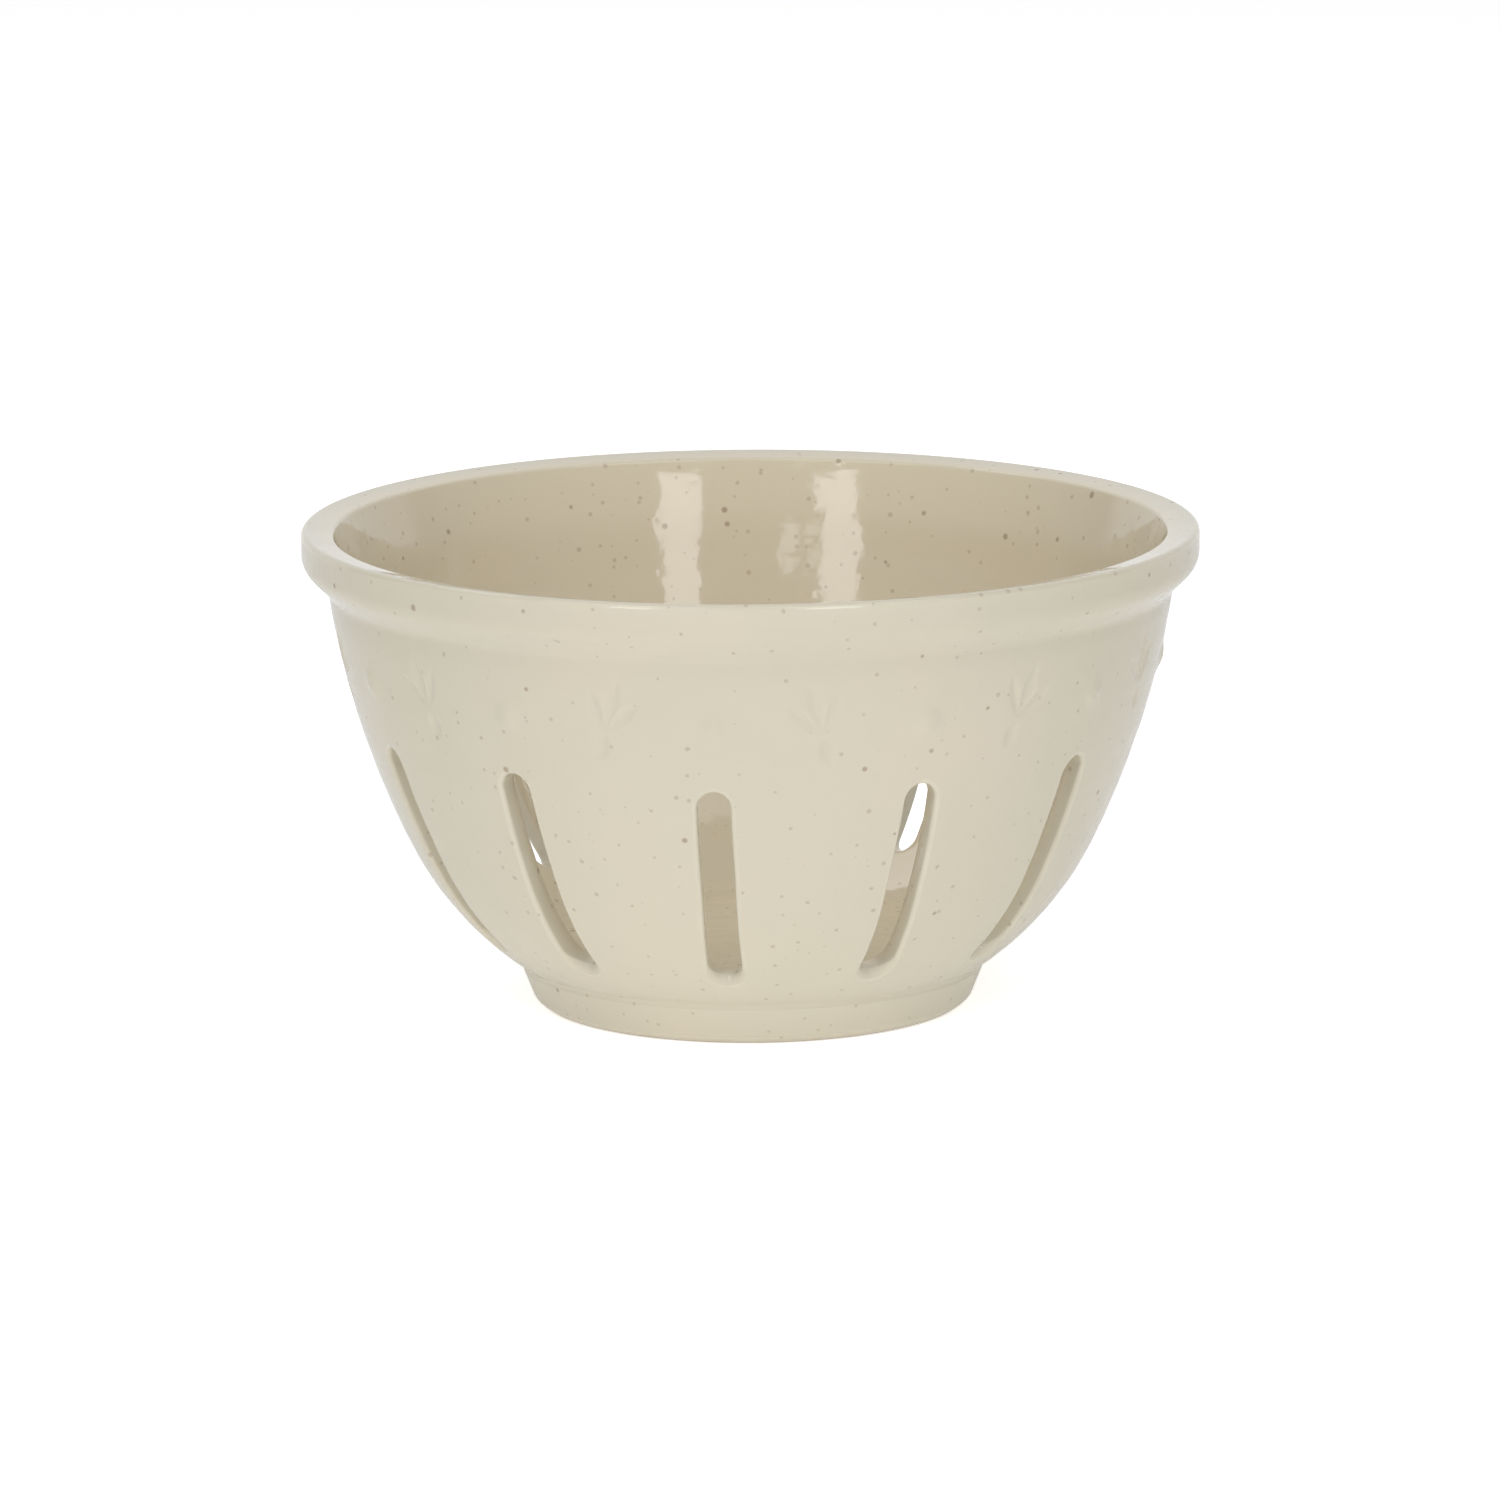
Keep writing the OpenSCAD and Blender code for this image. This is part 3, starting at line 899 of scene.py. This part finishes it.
studio = {
    "floor": (0.92, 0.92, 0.92, 1.0),
    "floorReach": 6,
    "floorSeen": 0.6,              # glow that the camera sees
    "floorNear": (0.35, 0.14),     # distance, and the glow that reflections see there
    "floorFar": (1.3, 0.8),
    "ambient": 0.27,
    "room": 0.4,                   # seen in reflections in front and above, in the backdrop's place
    "backdrop": (0.45, 0.55),      # a reflection's Y from which it sees the backdrop
    "unseen": ("overhead", "front_low"),     # lights with no reflection of their own
    # name, degrees round from the camera, low and high end in degrees up as seen from the
    # bowl, width in degrees, distance, radiance
    "softboxes": (("strip_right", 21.1, 1.3, 34.0, 11.8, 1.5, 3.4),
                  ("strip_left", -28.8, 1.3, 34.0, 11.3, 1.5, 3.4),
                  ("lamp_far", -13.2, 8.9, 15.6, 4.8, 1.6, 1.9),
                  ("lamp_near", -20.3, 11.2, 15.4, 3.9, 1.6, 1.6),
                  ("side_right", 36.0, 38.0, 66.0, 38.0, 1.6, 1.1),
                  ("side_left", -36.0, 38.0, 66.0, 38.0, 1.6, 1.0),
                  ("back_left", -120.0, 47.0, 60.0, 18.0, 1.6, 2.0),
                  ("front_low", 12.0, 4.0, 32.0, 46.0, 1.7, 0.22),
                  ("overhead", 0.0, 65.0, 115.0, 60.0, 1.4, 0.66)),
    "lightTable": (0.8, 0.00005, 0.33),       # size, height over the floor, radiance
}


def makeStudioFloor():
    reach = studio["floorReach"]
    mesh = bpy.data.meshes.new("studio_floor")
    corners = [(-reach, -reach, 0), (reach, -reach, 0), (reach, reach, 0), (-reach, reach, 0)]
    mesh.from_pydata(corners, [], [(0, 1, 2, 3)])
    floor = bpy.data.objects.new("studio_floor", mesh)
    bpy.context.scene.collection.objects.link(floor)
    material = bpy.data.materials.new("white_floor")
    mesh.materials.append(material)
    tree = newTree(material)
    path = addNode(tree, "ShaderNodeLightPath")
    seen = mathNode(tree, "MULTIPLY", path.outputs["Is Camera Ray"], studio["floorSeen"])
    # reflections see more of the glow far from the bowl, where the table meets the backdrop
    where = addNode(tree, "ShaderNodeTexCoord").outputs["Object"]
    away = addNode(tree, "ShaderNodeVectorMath", {0: where}, operation="LENGTH").outputs["Value"]
    (near, nearGlow), (far, farGlow) = studio["floorNear"], studio["floorFar"]
    glow = mapRange(tree, away, near, far, nearGlow, farGlow)
    strength = mathNode(tree, "MULTIPLY_ADD", path.outputs["Is Glossy Ray"], glow, seen)
    matt = addNode(tree, "ShaderNodeBsdfDiffuse", {"Color": studio["floor"]})
    light = addNode(tree, "ShaderNodeEmission", {"Strength": strength})
    both = addNode(tree, "ShaderNodeAddShader", {0: matt.outputs[0], 1: light.outputs[0]})
    addNode(tree, "ShaderNodeOutputMaterial", {"Surface": both.outputs[0]})


def makeWorld():
    # the camera sees white all round; reflections see it behind the bowl, and a duller room
    # in front and above
    world = bpy.data.worlds.new("white_studio")
    tree = newTree(world)
    path = addNode(tree, "ShaderNodeLightPath")
    where = addNode(tree, "ShaderNodeTexCoord").outputs["Generated"]
    side = addNode(tree, "ShaderNodeSeparateXYZ", {"Vector": where}).outputs["Y"]
    ambient, (start, full) = studio["ambient"], studio["backdrop"]
    behind = mapRange(tree, side, start, full, (studio["room"] - ambient) / (1 - ambient))
    seen = mathNode(tree, "MULTIPLY", path.outputs["Is Glossy Ray"], behind)
    for ray in ("Is Camera Ray", "Is Transmission Ray"):
        seen = mathNode(tree, "MAXIMUM", path.outputs[ray], seen)
    strength = mathNode(tree, "MULTIPLY_ADD", seen, 1 - ambient, ambient)
    sky = addNode(tree, "ShaderNodeBackground", {"Color": (1, 1, 1, 1), "Strength": strength})
    addNode(tree, "ShaderNodeOutputWorld", {"Surface": sky.outputs[0]})
    bpy.context.scene.world = world


def addLamp(name, wide, high, radiance):
    # an area lamp's power is 4 x radiance x area
    data = bpy.data.lights.new(name, "AREA")
    data.shape, data.size, data.size_y = "RECTANGLE", wide, high
    data.energy = 4 * radiance * data.size * data.size_y
    obj = bpy.data.objects.new(name, data)
    bpy.context.scene.collection.objects.link(obj)
    return obj


def makeLights():
    for name, side, low, high, wide, far, radiance in studio["softboxes"]:
        lamp = addLamp(name, far * math.radians(wide), far * math.radians(high - low), radiance)
        back = outward(camera["side"] + side, (low + high) / 2)
        lamp.visible_glossy = name not in studio["unseen"]
        lamp.location = Vector(camera["aim"]) + back * far
        lamp.rotation_euler = back.to_track_quat("Z", "Y").to_euler()
    # the lit table top sends its light up only, and is never seen itself
    size, height, radiance = studio["lightTable"]
    table = addLamp("light_table", size, size, radiance)
    table.visible_glossy = table.visible_camera = False
    table.location = (0, 0, height)
    table.rotation_euler = (math.pi, 0, 0)


makeCamera()
makeStudioFloor()
makeWorld()
makeLights()
bpy.context.scene.view_settings.view_transform = "Standard"
print("camera, floor and lights are in place")
